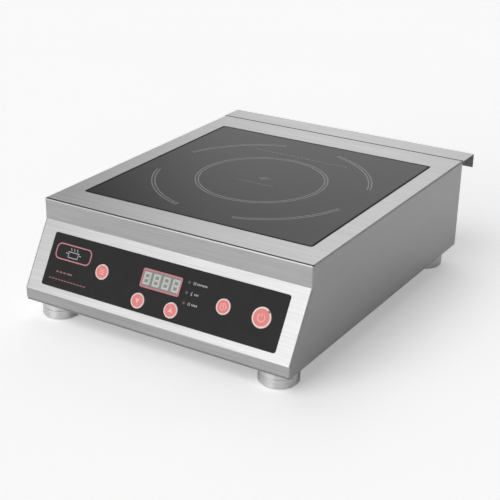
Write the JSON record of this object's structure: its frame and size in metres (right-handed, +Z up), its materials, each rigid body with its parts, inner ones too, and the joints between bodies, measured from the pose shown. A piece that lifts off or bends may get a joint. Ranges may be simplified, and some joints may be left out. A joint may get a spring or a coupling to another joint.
{
  "type": "induction hob",
  "caption": "Counter-top induction hob: folded steel body with a leaning key panel, square black glass plate, rear wall spacer and screw-adjustable round feet.",
  "frame": {"origin": "middle of the footprint, on the surface the hob stands on", "axes": "+Z up, -Y towards the cook (the key panel side), +X to the right seen from the front"},
  "size_m": [0.33, 0.433, 0.1252],
  "materials": {
    "brushed_stainless": "brushed stainless sheet, grain across the width",
    "base_steel": "plain zinc-coated sheet",
    "black_glass": "black glass-ceramic, gloss, printed zone marks",
    "black_silicone": "black silicone",
    "litz_copper": "enamelled copper winding",
    "carrier_plastic": "heat-resistant moulding",
    "ferrite": "sintered ferrite, matt",
    "aluminium_sheet": "plain sheet",
    "zinc_steel": "zinc-plated steel",
    "mica": "pressed mica sheet",
    "white_silicone": "white silicone sleeve",
    "circuit_board": "glass-fibre board with green solder mask",
    "brass_standoff": "turned brass",
    "aluminium_heatsink": "extruded aluminium",
    "device_black": "moulded epoxy",
    "capacitor_box": "potted plastic box",
    "transformer_tape": "taped winding",
    "capacitor_sleeve": "shrink sleeve",
    "terminal_plastic": "moulded terminal body",
    "black_moulding": "black moulded plastic",
    "overlay_black": "satin black front plate with printed marks",
    "display_pink": "pink printed frame",
    "display_face": "grey display face with pale segments",
    "lamp_lens": "unlit clear lamp",
    "key_pink": "salmon pink key with a pale rim",
    "polished_steel": "polished stainless",
    "rubber_sole": "black rubber",
    "gland_black": "black polyamide",
    "red_sleeve": "glass-fibre sleeve",
    "black_sleeve": "pvc insulated wire",
    "grey_ribbon": "flat ribbon cable"
  },
  "bodies": {
    "housing": {"base_plate": "base_steel", "board_screws": "zinc_steel", "board_standoffs": "brass_standoff", "bridge_rectifier": "device_black", "ceramic_glass": "black_glass", "coil_carrier": "carrier_plastic", "coil_leads": "red_sleeve", "coil_plate": "aluminium_sheet", "coil_posts": "zinc_steel", "control_board": "circuit_board", "control_overlay": "overlay_black", "control_ribbon": "grey_ribbon", "display_bezel": "display_pink", "display_module": "display_face", "fan_frame_left": "black_moulding", "fan_frame_right": "black_moulding", "fan_hood": "black_moulding", "fan_leads": "black_sleeve", "ferrite_bars": "ferrite", "foot_collars": "polished_steel", "foot_nuts": "zinc_steel", "gland_body": "gland_black", "gland_cap": "gland_black", "gland_locknut": "gland_black", "gland_seal": "black_silicone", "glass_seal": "black_silicone", "glass_support_frame": "base_steel", "heatsink": "aluminium_heatsink", "housing_screws": "zinc_steel", "igbt_transistors": "device_black", "indicator_lights": "lamp_lens", "induction_coil": "litz_copper", "line_choke": "litz_copper", "mica_sheet": "mica", "power_board": "circuit_board", "rear_panel": "brushed_stainless", "rear_spacer": "brushed_stainless", "reservoir_capacitors": "capacitor_sleeve", "resonant_capacitors": "capacitor_box", "smoothing_capacitor": "capacitor_box", "supply_transformer": "transformer_tape", "tact_switches": "device_black", "terminal_block": "terminal_plastic", "thermistor_probe": "white_silicone", "top_shell": "brushed_stainless"},
    "menu_key": {"menu_key": "key_pink"},
    "down_key": {"down_key": "key_pink"},
    "up_key": {"up_key": "key_pink"},
    "timer_key": {"timer_key": "key_pink"},
    "power_key": {"power_key": "key_pink"},
    "fan_rotor_left": {"fan_rotor_left": "black_moulding"},
    "fan_rotor_right": {"fan_rotor_right": "black_moulding"},
    "foot_sole_front_left": {"foot_sole_front_left": "rubber_sole"},
    "foot_cup_front_left": {"foot_cup_front_left": "polished_steel"},
    "foot_sole_front_right": {"foot_sole_front_right": "rubber_sole"},
    "foot_cup_front_right": {"foot_cup_front_right": "polished_steel"},
    "foot_sole_rear_left": {"foot_sole_rear_left": "rubber_sole"},
    "foot_cup_rear_left": {"foot_cup_rear_left": "polished_steel"},
    "foot_sole_rear_right": {"foot_sole_rear_right": "rubber_sole"},
    "foot_cup_rear_right": {"foot_cup_rear_right": "polished_steel"}
  },
  "joints": [
    {"name": "menu_press", "type": "slide", "parent": "housing", "child": "menu_key", "axis": [0, 0.8614, -0.5079], "range_m": [0, 0.0006], "stiffness_N_per_m": 2000, "springref_m": -0.0002},
    {"name": "down_press", "type": "slide", "parent": "housing", "child": "down_key", "axis": [0, 0.8614, -0.5079], "range_m": [0, 0.0006], "stiffness_N_per_m": 2000, "springref_m": -0.0002},
    {"name": "up_press", "type": "slide", "parent": "housing", "child": "up_key", "axis": [0, 0.8614, -0.5079], "range_m": [0, 0.0006], "stiffness_N_per_m": 2000, "springref_m": -0.0002},
    {"name": "timer_press", "type": "slide", "parent": "housing", "child": "timer_key", "axis": [0, 0.8614, -0.5079], "range_m": [0, 0.0006], "stiffness_N_per_m": 2000, "springref_m": -0.0002},
    {"name": "power_press", "type": "slide", "parent": "housing", "child": "power_key", "axis": [0, 0.8614, -0.5079], "range_m": [0, 0.0006], "stiffness_N_per_m": 2000, "springref_m": -0.0002},
    {"name": "fan_left_spin", "type": "hinge", "parent": "housing", "child": "fan_rotor_left", "pos_m": [-0.062, -0.12, 0.033], "axis": [0, 0, 1], "continuous": true},
    {"name": "fan_right_spin", "type": "hinge", "parent": "housing", "child": "fan_rotor_right", "pos_m": [0.062, -0.12, 0.033], "axis": [0, 0, 1], "continuous": true},
    {"name": "foot_front_left_extend", "type": "slide", "parent": "housing", "child": "foot_sole_front_left", "axis": [0, 0, -1], "range_m": [0, 0.00905]},
    {"name": "foot_front_left_turn", "type": "hinge", "parent": "foot_sole_front_left", "child": "foot_cup_front_left", "pos_m": [-0.138, -0.1895, 0], "axis": [0, 0, -1], "range_deg": [0, 2160]},
    {"name": "foot_front_right_extend", "type": "slide", "parent": "housing", "child": "foot_sole_front_right", "axis": [0, 0, -1], "range_m": [0, 0.00905]},
    {"name": "foot_front_right_turn", "type": "hinge", "parent": "foot_sole_front_right", "child": "foot_cup_front_right", "pos_m": [0.138, -0.1895, 0], "axis": [0, 0, -1], "range_deg": [0, 2160]},
    {"name": "foot_rear_left_extend", "type": "slide", "parent": "housing", "child": "foot_sole_rear_left", "axis": [0, 0, -1], "range_m": [0, 0.00905]},
    {"name": "foot_rear_left_turn", "type": "hinge", "parent": "foot_sole_rear_left", "child": "foot_cup_rear_left", "pos_m": [-0.138, 0.1547, 0], "axis": [0, 0, -1], "range_deg": [0, 2160]},
    {"name": "foot_rear_right_extend", "type": "slide", "parent": "housing", "child": "foot_sole_rear_right", "axis": [0, 0, -1], "range_m": [0, 0.00905]},
    {"name": "foot_rear_right_turn", "type": "hinge", "parent": "foot_sole_rear_right", "child": "foot_cup_rear_right", "pos_m": [0.138, 0.1547, 0], "axis": [0, 0, -1], "range_deg": [0, 2160]}
  ],
  "couplings": [
    {"joint": "foot_front_left_extend", "follows": "foot_front_left_turn", "m_per_rad": 0.00023873},
    {"joint": "foot_front_right_extend", "follows": "foot_front_right_turn", "m_per_rad": 0.00023873},
    {"joint": "foot_rear_left_extend", "follows": "foot_rear_left_turn", "m_per_rad": 0.00023873},
    {"joint": "foot_rear_right_extend", "follows": "foot_rear_right_turn", "m_per_rad": 0.00023873}
  ]
}
